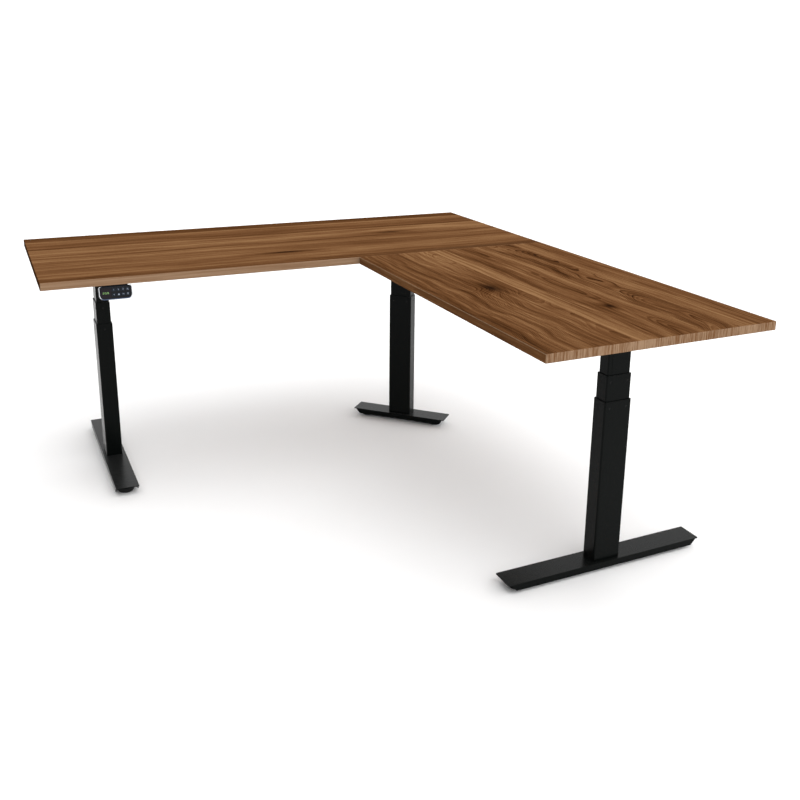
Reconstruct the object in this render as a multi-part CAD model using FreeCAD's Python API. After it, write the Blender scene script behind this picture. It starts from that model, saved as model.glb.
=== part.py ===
import FreeCAD
import Part
import math
import os

# L-shaped height adjustable desk: two wooden tops on a steel frame with three electric legs.
# Millimetres. +Z is up, the floor is z = 0 and the origin is the middle of the desk's footprint.
# The main top runs along X at the back (+Y); the return top runs forward (-Y) on the right (+X).
# The desk is drawn a little above its lowest setting: rest_extension is how far each of the two
# moving stages of every leg has come out.

# ---- tops ----
main_length = 1829.0
main_depth = 762.0
return_length = 1219.0
return_width = 762.0
top_thickness = 25.4
top_corner_radius = 4.0
top_edge_radius = 1.5
seam_gap = 0.5

# ---- leg stages ----
outer_length = 507.0
outer_wide = 93.0
tube_wall = 2.0
tube_corner_radius = 5.0
stage_gap = 1.5
sliding_clearance = 0.3
stage_step = 3.0
rest_extension = 75.0
stage_hold = 74.0
middle_bottom_rise = 18.0
inner_bottom_rise = 22.0
head_gap = 12.6
groove_width = 2.0
groove_depth = 0.6
groove_from_side = 13.5

# ---- plastic guides between the stages ----
top_guide_height = 60.0
foot_guide_height = 30.0
stud_radius = 3.2
stud_clearance = 0.1
stud_drop = 20.0
stud_from_side = 14.0
stud_recess = 0.6

# ---- feet ----
long_foot_length = 690.0
corner_foot_length = 400.0
foot_width = 78.0
foot_plate = 3.0
foot_top = 32.0
foot_flange_height = 21.0
foot_flange_setback = 10.0
foot_flange_slant = 16.0
foot_corner_radius = 3.0

# ---- levelling glides ----
glide_inset = 50.0
glide_pad_radius = 25.0
glide_pad_height = 8.0
glide_pad_edge = 2.0
glide_hub_radius = 9.0
glide_stud_radius = 5.0
glide_nut_width = 17.0
glide_travel = 10.0
glide_thread_hold = 8.0
thread_clearance = 0.05

# ---- lifting spindles ----
drive_radius = 6.0
drive_key_length = 20.0
drive_key_clearance = 0.1
drive_flange_rim = 4.0
drive_flange_height = 5.4
spindle_play = 0.5
hollow_wall = 3.5
hollow_floor_gap = 8.0
hollow_flange_height = 8.0
post_play = 0.5
post_wall = 2.5
post_below_tube_top = 67.0
post_flange_margin = 3.0
post_flange_thickness = 4.0
lower_nut_length = 40.0
support_play = 1.0
support_wall = 3.0
support_side_gap = 2.0
support_plate = 4.0
support_cap_height = 26.0
bearing_height = 8.0
bearing_above_post = 6.0
running_clearance = 0.05
end_clearance = 0.3

# ---- leg heads and gear motors ----
head_plate = 4.0
head_plate_length = 140.0
head_hole_gap = 7.0
gearbox_width = 58.0
gearbox_length = 60.0
gearbox_height = 44.0
motor_inset = 1.0
motor_length = 95.0
spindle_rise = 16.0

# ---- under-frame ----
gearbox_side_gap = 6.0
gearbox_top_gap = 3.0
beam_wall = 3.0
beam_lip = 12.0
beam_end_plate = 4.0
beam_overhang = 80.0
beam_extension_overlap = 150.0
beam_extension_visible = 190.0
extension_clearance = 0.3
hub_plate = 4.0
hub_side_margin = 5.0
hub_front_margin = 4.25
hub_motor_gap = 20.0
hub_window_gap = 5.0
bracket_length = 500.0
bracket_width = 50.0
bracket_plate = 4.0
bracket_drop = 44.0
bracket_end_drop = 18.0
bracket_full_drop_half = 60.0
seam_plate_length = 120.0
seam_plate_width = 50.0
seam_plate_thickness = 3.0
seam_plate_inset = 110.0

# ---- where the legs stand ----
left_leg_inset = 220.0
right_leg_inset = 215.0
corner_leg_offset = 65.0

# ---- fasteners ----
screw_radius = 2.5
screw_head_radius = 4.8
screw_head_height = 2.6
screw_depth = 16.0
screw_clearance = 0.05
bolt_radius = 3.0
bolt_head_radius = 5.0
bolt_head_height = 4.0
bolt_hole_clearance = 0.3
bolt_end = 3.0
head_bolt_spacing = 100.0

# ---- control box ----
box_length, box_width, box_height = 260.0, 100.0, 32.0
box_wall = 2.5
box_ear = 18.0
box_behind_beam = 32.0
box_from_leg = 400.0
lid_clearance = 0.2
socket_bar_length, socket_bar_depth, socket_bar_height = 220.0, 16.0, 22.0
socket_depth = 12.0
socket_rise = 5.0
inlet_width, inlet_height = 24.0, 16.0
lead_socket_width, lead_socket_height = 14.0, 12.0
socket_pitch = 40.0

# ---- keypad ----
keypad_width, keypad_height = 104.0, 44.0
keypad_depth = 12.0
keypad_lower_radius = 16.0
keypad_upper_radius = 6.0
keypad_tilt = 15.0
keypad_top_gap = 2.5
keypad_from_edge = 1.0
keypad_from_leg = 4.5
keypad_border = 5.0
face_thickness = 1.6
face_sink = 0.4
flange_width, flange_depth, flange_thickness = 80.0, 46.0, 4.0
flange_screw_spacing = 60.0
flange_screw_setback = 32.0
key_width, key_height = 12.0, 11.0
key_corner_radius = 1.5
key_side_margin = 3.6
key_edge_margin = 3.7
key_rows_rise = 1.5
key_pitch = 14.4
key_proud = 0.4
key_gap = 0.3
key_flange = 0.8
key_travel = 0.5
key_seat_gap = 0.05

# ---- sizes that follow from the ones above ----
total_length = main_length
total_depth = main_depth + seam_gap + return_length
right_edge = total_length / 2
back_edge = total_depth / 2
main_front = back_edge - main_depth
return_back = main_front - seam_gap
return_left = right_edge - return_width

# The drive is sized from the inside out, and the tubes' narrow side follows from it.
hollow_bore_flats = 2 * (drive_radius + spindle_play)
drive_key_flats = hollow_bore_flats - 2 * drive_key_clearance
drive_flange_radius = drive_radius + drive_flange_rim
hollow_radius = hollow_bore_flats / 2 + hollow_wall
post_bore_radius = hollow_radius + post_play
post_radius = post_bore_radius + post_wall
support_bore_radius = post_radius + support_play
support_radius = support_bore_radius + support_wall
hollow_flange_radius = post_radius

stage_shrink = 2 * (tube_wall + stage_gap)
inner_narrow = 2 * (support_radius + support_side_gap + tube_wall)
middle_narrow = inner_narrow + stage_shrink
outer_narrow = middle_narrow + stage_shrink
middle_wide = outer_wide - stage_shrink
inner_wide = middle_wide - stage_shrink
guide_thickness = stage_gap - sliding_clearance
stud_offset = middle_wide / 2 - stud_from_side
groove_offset = inner_wide / 2 - groove_from_side

stage_travel = outer_length - middle_bottom_rise - foot_guide_height - top_guide_height - stage_hold
stage_reach = stage_travel - rest_extension
frame_height = gearbox_height + gearbox_top_gap + beam_wall
glide_nut_height = glide_travel + glide_thread_hold

outer_top = foot_top + outer_length
middle_bottom = foot_top + middle_bottom_rise + rest_extension
middle_top = outer_top + stage_step + rest_extension
inner_bottom = middle_bottom + inner_bottom_rise + rest_extension
inner_top = middle_top + head_gap + rest_extension
frame_bottom = inner_top + head_plate
underside = frame_bottom + frame_height
desk_height = underside + top_thickness

post_top = outer_top - post_below_tube_top
bearing_bottom = post_top + rest_extension + bearing_above_post
hollow_flange_bottom = bearing_bottom + bearing_height + end_clearance
hollow_bottom = foot_top + hollow_floor_gap + rest_extension
cap_bottom = hollow_flange_bottom + hollow_flange_height + end_clearance
drive_bottom = bearing_bottom - stage_reach - drive_key_length
drive_top = frame_bottom + spindle_rise
drive_flange_bottom = frame_bottom + (spindle_rise - drive_flange_height) / 2

motor_radius = gearbox_height / 2 - motor_inset
motor_end = gearbox_length / 2 + motor_length
slot_half = gearbox_width / 2 + gearbox_side_gap
beam_half = slot_half + beam_lip + beam_wall
lip_bolt_offset = slot_half + beam_lip / 2
lip_top = frame_bottom + beam_wall
web_bottom = underside - beam_wall

left_leg = (-right_edge + left_leg_inset, back_edge - main_depth / 2, -90.0)
right_leg = (right_edge - return_width / 2, -back_edge + right_leg_inset, 0.0)
crossing_x, crossing_y = right_leg[0], left_leg[1]
corner_leg = (crossing_x - corner_leg_offset, crossing_y - corner_leg_offset, -45.0)
legs = {"left": left_leg, "corner": corner_leg, "right": right_leg}

# The hub's outline is measured from the point where the beams' middle lines cross.
hub_side_half = beam_half + hub_side_margin
leg_to_front = head_plate_length / 2 + hub_front_margin
hub_reach = 2 * corner_leg_offset - hub_side_half + math.sqrt(2) * leg_to_front
hub_back_chamfer = math.sqrt(2) * (motor_end + hub_motor_gap) - 2 * corner_leg_offset - hub_side_half
foot_lengths = {"left": long_foot_length, "corner": corner_foot_length, "right": long_foot_length}

UP = FreeCAD.Vector(0, 0, 1)


# ---- shapes ----
def vec(x, y, z):
    return FreeCAD.Vector(x, y, z)


def box(low, high):
    size = [b - a for a, b in zip(low, high)]
    return Part.makeBox(*size, vec(*low))


def cylinder(radius, bottom, top, x=0.0, y=0.0):
    return Part.makeCylinder(radius, top - bottom, vec(x, y, bottom))


def prism(points, bottom, top):
    """An upright prism over a closed outline of (x, y) points."""
    corners = [vec(x, y, bottom) for x, y in points]
    face = Part.Face(Part.makePolygon(corners + corners[:1]))
    return face.extrude(vec(0, 0, top - bottom))


def hexagon(flats, bottom, top):
    across_corners = flats / math.sqrt(3)
    points = []
    for step in range(6):
        angle = math.radians(60 * step)
        points.append((across_corners * math.cos(angle), across_corners * math.sin(angle)))
    return prism(points, bottom, top)


def rounded_bar(length, width, radii, bottom, top):
    """An upright bar centred on Z; radii are for the corners -X-Y, +X-Y, +X+Y and -X+Y."""
    corners = [(-1, -1), (1, -1), (1, 1), (-1, 1)]
    edges = []
    ends = []
    for (sx, sy), radius in zip(corners, radii):
        centre = vec(sx * (length / 2 - radius), sy * (width / 2 - radius), bottom)
        middle = math.atan2(sy, sx)
        points = []
        for turn in (-math.pi / 4, 0, math.pi / 4):
            spoke = vec(math.cos(middle + turn), math.sin(middle + turn), 0)
            points.append(centre + spoke * radius)
        ends.append((points[0], points[2]))
        edges.append(Part.Arc(*points).toShape())
    outline = []
    for i, edge in enumerate(edges):
        outline.append(edge)
        outline.append(Part.LineSegment(ends[i][1], ends[(i + 1) % len(ends)][0]).toShape())
    return Part.Face(Part.Wire(outline)).extrude(vec(0, 0, top - bottom))


def sleeve(outside_wide, outside_narrow, wall, radius, bottom, top):
    """A rectangular tube with rounded corners."""
    inner_radius = max(radius - wall, 0.3)
    outside = rounded_bar(outside_wide, outside_narrow, [radius] * 4, bottom, top)
    inside = rounded_bar(
        outside_wide - 2 * wall, outside_narrow - 2 * wall, [inner_radius] * 4, bottom, top
    )
    return outside.cut(inside)


def place(shape, leg):
    """Moves a shape drawn about a leg's own axis to where that leg stands."""
    x, y, angle = leg
    moved = shape.copy()
    moved.rotate(vec(0, 0, 0), UP, angle)
    moved.translate(vec(x, y, 0))
    return moved


def leg_point(leg, x, y):
    """A point given in a leg's own directions, in the desk's frame."""
    angle = math.radians(leg[2])
    return (
        leg[0] + x * math.cos(angle) - y * math.sin(angle),
        leg[1] + x * math.sin(angle) + y * math.cos(angle),
    )


def wood_screw(x, y, seat):
    """A screw whose head bears up against seat and whose shank runs into the top."""
    head = cylinder(screw_head_radius, seat - screw_head_height, seat, x, y)
    return head.fuse(cylinder(screw_radius, seat, underside + screw_depth, x, y))


def screw_hole(x, y, bottom=None):
    """What a wood screw cuts out of the top and of the plate that it holds."""
    start = underside - top_thickness if bottom is None else bottom
    return cylinder(screw_radius + screw_clearance, start, underside + screw_depth + 1, x, y)


def bolt(seat, direction, grip):
    """A bolt whose head sits on seat, with its shank along direction."""
    way = vec(*direction)
    start = vec(*seat)
    head = Part.makeCylinder(bolt_head_radius, bolt_head_height, start, way * -1)
    return head.fuse(Part.makeCylinder(bolt_radius, grip + bolt_end, start, way))


def bolt_hole(seat, direction, grip):
    way = vec(*direction)
    return Part.makeCylinder(bolt_radius + bolt_hole_clearance, grip + 2, vec(*seat) - way, way)


# ---- legs, each piece drawn about its own leg's axis with the foot along X ----
def stud_places(wide, narrow):
    """Middle of each guide stud on the four faces of a tube, with the way it points."""
    places = []
    for side in (-1, 1):
        places.append((side * wide / 2, 0.0, (side, 0, 0)))
        for x in (-stud_offset, stud_offset):
            places.append((x, side * narrow / 2, (0, side, 0)))
    return places


def studs(wide, narrow, height, radius, inside, outside):
    """Round studs through a tube's wall, from inside to outside of its outer face."""
    found = []
    for x, y, way in stud_places(wide, narrow):
        direction = vec(*way)
        start = vec(x, y, height) - direction * inside
        found.append(Part.makeCylinder(radius, inside + outside, start, direction))
    return found


def stage_tube(wide, narrow, bottom, top, radius):
    """One stage of a leg, with the holes that its top guide's studs snap into."""
    tube = sleeve(wide, narrow, tube_wall, radius, bottom, top)
    holes = studs(
        wide, narrow, top - stud_drop, stud_radius + stud_clearance, tube_wall + 1, 1
    )
    return tube.cut(holes)


def top_guide(wide, narrow, top, radius):
    """Plastic sleeve inside the mouth of a tube of this outside size."""
    ring = sleeve(
        wide - 2 * tube_wall, narrow - 2 * tube_wall, guide_thickness,
        radius - tube_wall, top - top_guide_height, top,
    )
    pins = studs(
        wide, narrow, top - stud_drop, stud_radius, tube_wall + guide_thickness / 2, -stud_recess
    )
    return ring.fuse(pins)


def foot_guide(wide, narrow, bottom, radius):
    """Plastic sleeve around the lower end of a tube of this outside size."""
    return sleeve(
        wide + 2 * guide_thickness, narrow + 2 * guide_thickness, guide_thickness,
        radius + guide_thickness, bottom, bottom + foot_guide_height,
    )


def foot(length):
    """An inverted channel whose side flanges are cut back at a slant at both ends."""
    plate = rounded_bar(length, foot_width, [foot_corner_radius] * 4, foot_top - foot_plate, foot_top)
    half = length / 2 - foot_flange_setback
    flange_bottom = foot_top - foot_flange_height
    joint = foot_top - foot_plate
    outline = [
        (-half, joint), (-half + foot_flange_slant, flange_bottom),
        (half - foot_flange_slant, flange_bottom), (half, joint),
    ]
    solid = plate
    for side in (-1, 1):
        outer_face = side * foot_width / 2
        corners = [vec(x, outer_face, z) for x, z in outline]
        face = Part.Face(Part.makePolygon(corners + corners[:1]))
        solid = solid.fuse(face.extrude(vec(0, -side * foot_plate, 0)))
    nut_bottom = joint - glide_nut_height
    for side in (-1, 1):
        nut = hexagon(glide_nut_width, nut_bottom, joint)
        nut = nut.cut(cylinder(glide_stud_radius + thread_clearance, nut_bottom, joint))
        nut.translate(vec(side * (length / 2 - glide_inset), 0, 0))
        solid = solid.fuse(nut)
    return solid.removeSplitter()


def glide(length, side):
    """A round pad on a threaded stud, screwed right in until its hub meets the foot's nut."""
    nut_bottom = foot_top - foot_plate - glide_nut_height
    pad = cylinder(glide_pad_radius, 0, glide_pad_height)
    pad = pad.makeFillet(glide_pad_edge, [pad.Edges[0]])
    hub = cylinder(glide_hub_radius, glide_pad_height, nut_bottom - end_clearance)
    stud = cylinder(glide_stud_radius, glide_pad_height, foot_top - foot_plate - 1)
    whole = pad.fuse([hub, stud])
    whole.translate(vec(side * (length / 2 - glide_inset), 0, 0))
    return whole


def lift_post():
    """Tube that stands on the foot and carries the lower nut at its top."""
    margin = tube_wall + post_flange_margin
    flange = rounded_bar(
        outer_wide - 2 * margin, outer_narrow - 2 * margin, [tube_corner_radius - tube_wall] * 4,
        foot_top, foot_top + post_flange_thickness,
    )
    post = cylinder(post_radius, foot_top, post_top)
    post = post.cut(cylinder(post_bore_radius, foot_top + post_flange_thickness,
                             post_top - lower_nut_length))
    post = post.cut(cylinder(hollow_radius + running_clearance,
                             post_top - lower_nut_length, post_top))
    return flange.fuse(post)


def hollow_spindle():
    """Screw that turns in the lower nut and hangs in the spindle support."""
    screw = cylinder(hollow_radius, hollow_bottom, hollow_flange_bottom)
    flange = cylinder(
        hollow_flange_radius, hollow_flange_bottom, hollow_flange_bottom + hollow_flange_height
    )
    bore = hexagon(hollow_bore_flats, hollow_bottom, hollow_flange_bottom + hollow_flange_height)
    return screw.fuse(flange).cut(bore)


def spindle_support():
    """Bottom plate, tube, bearing seat and upper nut that ride with the middle stage."""
    plate = rounded_bar(
        middle_wide - 2 * tube_wall, middle_narrow - 2 * tube_wall,
        [tube_corner_radius - tube_wall] * 4, middle_bottom, middle_bottom + support_plate,
    )
    cap_top = cap_bottom + support_cap_height
    solid = plate.fuse(cylinder(support_radius, middle_bottom, cap_top))
    solid = solid.cut(cylinder(support_bore_radius, middle_bottom, bearing_bottom))
    solid = solid.cut(cylinder(hollow_radius + running_clearance, bearing_bottom, cap_bottom))
    solid = solid.cut(cylinder(hollow_flange_radius + end_clearance,
                               bearing_bottom + bearing_height, cap_bottom))
    return solid.cut(cylinder(drive_radius + running_clearance, cap_bottom, cap_top))


def drive_spindle():
    """Screw that hangs from the gear motor; the hexagon at its foot turns the hollow spindle."""
    screw = cylinder(drive_radius, drive_bottom + drive_key_length, drive_top)
    key = hexagon(drive_key_flats, drive_bottom, drive_bottom + drive_key_length)
    flange = cylinder(
        drive_flange_radius, drive_flange_bottom, drive_flange_bottom + drive_flange_height
    )
    return screw.fuse([key, flange])


def gear_motor():
    """Sealed right-angle gearbox with its motor can lying along +Y."""
    top = frame_bottom + gearbox_height
    gearbox = box(
        (-gearbox_width / 2, -gearbox_length / 2, frame_bottom),
        (gearbox_width / 2, gearbox_length / 2, top),
    )
    upright = [edge for edge in gearbox.Edges if abs(edge.tangentAt(0).z) > 0.99]
    gearbox = gearbox.makeFillet(6.0, upright)
    can = Part.makeCylinder(
        motor_radius, motor_length, vec(0, gearbox_length / 2, frame_bottom + gearbox_height / 2),
        vec(0, 1, 0),
    )
    shaft = cylinder(drive_radius + running_clearance, frame_bottom, drive_top + end_clearance)
    pocket = cylinder(
        drive_flange_radius + end_clearance, drive_flange_bottom - end_clearance,
        drive_flange_bottom + drive_flange_height + end_clearance,
    )
    return gearbox.fuse(can).cut(shaft).cut(pocket)


def inner_tube():
    """Top stage with its head plate, which bolts up under the frame."""
    radius = tube_corner_radius - 1
    tube = sleeve(inner_wide, inner_narrow, tube_wall, radius, inner_bottom, inner_top)
    for side in (-1, 1):
        face = side * inner_narrow / 2
        low, high = sorted((face - side * groove_depth, face + side))
        start = side * groove_offset - groove_width / 2
        tube = tube.cut(box((start, low, inner_bottom), (start + groove_width, high, inner_top)))
    plate = box(
        (-beam_half, -head_plate_length / 2, inner_top),
        (beam_half, head_plate_length / 2, frame_bottom),
    )
    plate = plate.cut(cylinder(drive_radius + head_hole_gap, inner_top, frame_bottom))
    for x, y in head_bolt_places():
        plate = plate.cut(bolt_hole((x, y, inner_top), (0, 0, 1), head_plate))
    return tube.fuse(plate)


def head_bolt_places():
    """Bolts of a leg's head plate, in the leg's own directions."""
    across = (-lip_bolt_offset, lip_bolt_offset)
    along = (-head_bolt_spacing / 2, head_bolt_spacing / 2)
    return [(x, y) for x in across for y in along]


# ---- under-frame, in the desk's frame ----
def head_bolts(leg):
    found = []
    for x, y in head_bolt_places():
        px, py = leg_point(leg, x, y)
        found.append(bolt((px, py, inner_top), (0, 0, 1), head_plate + beam_wall))
    return found


def head_bolt_holes(leg):
    found = []
    for x, y in head_bolt_places():
        px, py = leg_point(leg, x, y)
        found.append(bolt_hole((px, py, frame_bottom), (0, 0, 1), beam_wall))
    return found


def beam_screw_places(length):
    """Screws along a beam's middle line, clear of the gear motor at its outer end."""
    first = beam_overhang + motor_end + 40
    last = length - beam_extension_overlap - 30
    return [(first, 0.0), ((first + last) / 2, 0.0), (last, 0.0), (25.0, 0.0)]


def beam(length):
    """Lipped channel, open below, drawn along +Y from a closed outer end at y = 0."""
    solid = box((-beam_half, 0, frame_bottom), (beam_half, length, underside))
    solid = solid.cut(box(
        (-beam_half + beam_wall, beam_end_plate, lip_top),
        (beam_half - beam_wall, length, web_bottom),
    ))
    solid = solid.cut(box((-slot_half, beam_end_plate, frame_bottom), (slot_half, length, lip_top)))
    for y, x in beam_screw_places(length):
        solid = solid.cut(screw_hole(x, y, web_bottom - 1))
    for side in (-1, 1):
        solid = solid.cut(bolt_hole(*lock_bolt(length, side)))
        solid = solid.cut(bolt_hole(*end_bolt(side)))
    return solid


def lock_bolt(length, side):
    """Bolt through a beam's side that locks the extension in it."""
    seat = (side * beam_half, length - beam_extension_overlap / 2, (lip_top + web_bottom) / 2)
    return seat, (-side, 0, 0), 2 * beam_wall + extension_clearance


def end_bolt(side):
    """Bolt that holds a side bracket to a beam's closed end."""
    seat = (side * beam_half / 2, -bracket_plate, (frame_bottom + underside) / 2)
    return seat, (0, 1, 0), bracket_plate + beam_end_plate


def hub_bolt(length, side):
    """Bolt that holds a beam extension's end plate to the corner hub."""
    seat = (side * beam_half / 2, length - beam_end_plate, (frame_bottom + underside) / 2)
    return seat, (0, 1, 0), beam_end_plate + beam_wall


def beam_extension(start, length):
    """Channel that slides inside a beam, from y = start to its end plate at y = length."""
    half = beam_half - beam_wall - extension_clearance
    low, high = lip_top + extension_clearance, web_bottom - extension_clearance
    solid = box((-half, start, low), (half, length, high))
    solid = solid.cut(box(
        (-half + beam_wall, start, low), (half - beam_wall, length - beam_end_plate, high - beam_wall)
    ))
    for side in (-1, 1):
        solid = solid.cut(bolt_hole(*lock_bolt(start + beam_extension_overlap, side)))
        solid = solid.cut(bolt_hole(*hub_bolt(length, side)))
    return solid


def bracket_screw_places():
    spread = bracket_length / 2 - 25
    return [(x, -bracket_plate - bracket_width / 2) for x in (-spread, -spread / 3, spread / 3, spread)]


def side_bracket():
    """Angle plate across a beam's outer end: flat under the top, deep where the beam bolts on."""
    half = bracket_length / 2
    low = underside - bracket_plate
    flat = box((-half, -bracket_plate - bracket_width, low), (half, 0, underside))
    outline = [
        (-half, low), (-half, underside - bracket_end_drop),
        (-bracket_full_drop_half, underside - bracket_drop),
        (bracket_full_drop_half, underside - bracket_drop),
        (half, underside - bracket_end_drop), (half, low),
    ]
    corners = [vec(x, 0, z) for x, z in outline]
    face = Part.Face(Part.makePolygon(corners + corners[:1]))
    solid = flat.fuse(face.extrude(vec(0, -bracket_plate, 0)))
    for x, y in bracket_screw_places():
        solid = solid.cut(screw_hole(x, y, low - 1))
    for side in (-1, 1):
        solid = solid.cut(bolt_hole(*end_bolt(side)))
    return solid


def hub_outline(inset=0.0):
    """Outline of the corner hub about the point where the beams' middle lines cross."""
    reach, half = hub_reach - inset, hub_side_half - inset
    trim = inset * (math.sqrt(2) - 1)
    front, back = hub_side_half - trim, hub_back_chamfer - trim
    return [(-reach, -front), (-front, -reach), (half, -reach), (half, back), (back, half), (-reach, half)]


def hub_screw_places():
    far, near = hub_reach - 20, hub_side_half - 15
    return [(-far, 0.0), (0.0, -far), (near, -60.0), (-60.0, near)]


def corner_hub():
    """Shallow box that joins both beams and carries the corner leg."""
    solid = prism(hub_outline(), frame_bottom, underside)
    solid = solid.cut(prism(hub_outline(beam_wall), lip_top, underside - hub_plate))
    solid.translate(vec(crossing_x, crossing_y, 0))
    window_front = -gearbox_length / 2 - hub_window_gap
    window = box(
        (-slot_half, window_front, frame_bottom), (slot_half, motor_end + hub_window_gap, lip_top)
    )
    solid = solid.cut(place(window, corner_leg))
    solid = solid.cut(head_bolt_holes(corner_leg))
    for x, y in hub_screw_places():
        solid = solid.cut(screw_hole(crossing_x + x, crossing_y + y, underside - hub_plate - 1))
    for line, length in beam_lines.values():
        for side in (-1, 1):
            solid = solid.cut(place(bolt_hole(*hub_bolt(length, side)), line))
    return solid


# A beam line is the place of a beam's outer end and its direction, with the whole length to the hub.
main_line = (left_leg[0] - beam_overhang, left_leg[1], left_leg[2])
return_line = (right_leg[0], right_leg[1] - beam_overhang, right_leg[2])
beam_lines = {
    "main": (main_line, crossing_x - hub_reach - main_line[0]),
    "return": (return_line, crossing_y - hub_reach - return_line[1]),
}


def seam_plate_centres():
    return [(return_left + seam_plate_inset, main_front), (right_edge - seam_plate_inset, main_front)]


def seam_plate_screws(x, y):
    spread = seam_plate_length / 2 - 15
    return [(x - 12, y - spread), (x + 12, y - spread / 2), (x - 12, y + spread / 2), (x + 12, y + spread)]


def seam_plates():
    plates = []
    for x, y in seam_plate_centres():
        plate = box(
            (x - seam_plate_width / 2, y - seam_plate_length / 2, underside - seam_plate_thickness),
            (x + seam_plate_width / 2, y + seam_plate_length / 2, underside),
        )
        for px, py in seam_plate_screws(x, y):
            plate = plate.cut(screw_hole(px, py, underside - seam_plate_thickness - 1))
        plates.append(plate)
    return plates


def top_slab(x0, y0, x1, y1):
    """A wooden top with slightly rounded corners and edges."""
    length, width = x1 - x0, y1 - y0
    slab = rounded_bar(length, width, [top_corner_radius] * 4, underside, desk_height)
    rims = []
    for edge in slab.Edges:
        if abs(edge.BoundBox.ZMax - edge.BoundBox.ZMin) < 0.01:
            rims.append(edge)
    slab = slab.makeFillet(top_edge_radius, rims)
    slab.translate(vec((x0 + x1) / 2, (y0 + y1) / 2, 0))
    return slab


# ---- control box ----
control_x = left_leg[0] + box_from_leg
control_y = left_leg[1] + beam_half + box_behind_beam + box_width / 2
control_bottom = underside - box_height


def control_screw_places():
    places = []
    for side in (-1, 1):
        for y in (-box_width / 4, box_width / 4):
            places.append((control_x + side * (box_length + box_ear) / 2, control_y + y))
    return places


def socket_places():
    """Middle of each socket along X with its width and height: three motors, keypad, mains."""
    first = control_x - 2 * socket_pitch
    places = [(first + i * socket_pitch, lead_socket_width, lead_socket_height) for i in range(4)]
    return places + [(first + 4 * socket_pitch, inlet_width, inlet_height)]


def control_box():
    x0, x1 = control_x - box_length / 2, control_x + box_length / 2
    y0, y1 = control_y - box_width / 2, control_y + box_width / 2
    rim = underside - box_wall
    case = box((x0, y0, control_bottom), (x1, y1, underside))
    inside = box((x0 + box_wall, y0 + box_wall, control_bottom + box_wall),
                 (x1 - box_wall, y1 - box_wall, underside))
    case = case.cut(inside)
    case = case.cut(box((x0 + box_wall, y0, rim), (x1 - box_wall, y1, underside)))
    bar_top = control_bottom + box_wall + socket_bar_height
    case = case.fuse(box(
        (control_x - socket_bar_length / 2, y1 - socket_bar_depth, control_bottom),
        (control_x + socket_bar_length / 2, y1, bar_top),
    ))
    for x, width, height in socket_places():
        low = control_bottom + socket_rise
        case = case.cut(box((x - width / 2, y1 - socket_depth, low), (x + width / 2, y1, low + height)))
    for side in (-1, 1):
        wall = control_x + side * box_length / 2
        low, high = sorted((wall, wall + side * box_ear))
        case = case.fuse(box((low, y0, underside - bracket_plate), (high, y1, underside)))
    for x, y in control_screw_places():
        case = case.cut(screw_hole(x, y, underside - bracket_plate - 1))
    return case.removeSplitter()


def control_box_lid():
    half = box_length / 2 - box_wall - lid_clearance
    return box(
        (control_x - half, control_y - box_width / 2, underside - box_wall),
        (control_x + half, control_y + box_width / 2, underside),
    )


# ---- keypad, drawn upright with its face towards +Z, then tilted under the top's front edge ----
keypad_x = left_leg[0] + keypad_from_leg


def place_keypad(shape):
    """Turns a shape so that its +Y is up the face and its +Z points forwards and a little up."""
    moved = shape.copy()
    moved.translate(vec(0, -keypad_height / 2, 0))
    moved.rotate(vec(0, 0, 0), vec(1, 0, 0), 90 - keypad_tilt)
    moved.translate(vec(keypad_x, main_front + keypad_from_edge, underside - keypad_top_gap))
    return moved


def key_places():
    """Middle of each key on the face, the upper row first."""
    row = keypad_height / 2 - keypad_border - key_edge_margin - key_height / 2
    last = keypad_width / 2 - keypad_border - key_side_margin - key_width / 2
    rows = (key_rows_rise + row, key_rows_rise - row)
    return [(last - i * key_pitch, y) for y in rows for i in (3, 2, 1, 0)]


def key_bar(margin, bottom, top):
    radius = key_corner_radius + max(margin, 0)
    return rounded_bar(key_width + 2 * margin, key_height + 2 * margin, [radius] * 4, bottom, top)


def keypad_outline(border, bottom, top):
    lower, upper = keypad_lower_radius - border, keypad_upper_radius - border
    return rounded_bar(
        keypad_width - 2 * border, keypad_height - 2 * border,
        [lower, lower, upper, upper], bottom, top,
    )


face_back = -face_sink - face_thickness
key_back = face_back - key_seat_gap - key_flange


def keypad_face():
    face = keypad_outline(keypad_border + sliding_clearance, face_back, -face_sink)
    for x, y in key_places():
        window = key_bar(key_gap, face_back, -face_sink)
        window.translate(vec(x, y, 0))
        face = face.cut(window)
    return place_keypad(face)


def key(x, y):
    cap = key_bar(0, face_back - key_seat_gap, -face_sink + key_proud)
    whole = cap.fuse(key_bar(2 * key_gap, key_back, face_back - key_seat_gap))
    whole.translate(vec(x, y, 0))
    return place_keypad(whole)


def keypad_screw_places():
    y = main_front + flange_screw_setback
    return [(keypad_x + side * flange_screw_spacing / 2, y) for side in (-1, 1)]


def keypad_case():
    """Shallow tray with a rim round the face, and a flange that screws up under the top."""
    case = keypad_outline(0, -keypad_depth, 0)
    case = case.cut(keypad_outline(keypad_border, face_back, 0))
    pocket_bottom = key_back - key_travel - end_clearance
    for x, y in key_places():
        pocket = key_bar(3 * key_gap, pocket_bottom, face_back)
        pocket.translate(vec(x, y, 0))
        case = case.cut(pocket)
    case = place_keypad(case)
    front = main_front + keypad_from_edge + keypad_depth / 2
    flange = box(
        (keypad_x - flange_width / 2, front, underside - flange_thickness),
        (keypad_x + flange_width / 2, main_front + flange_depth, underside),
    )
    for x, y in keypad_screw_places():
        flange = flange.cut(screw_hole(x, y, underside - flange_thickness - 1))
    return case.fuse(flange).removeSplitter()


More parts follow.
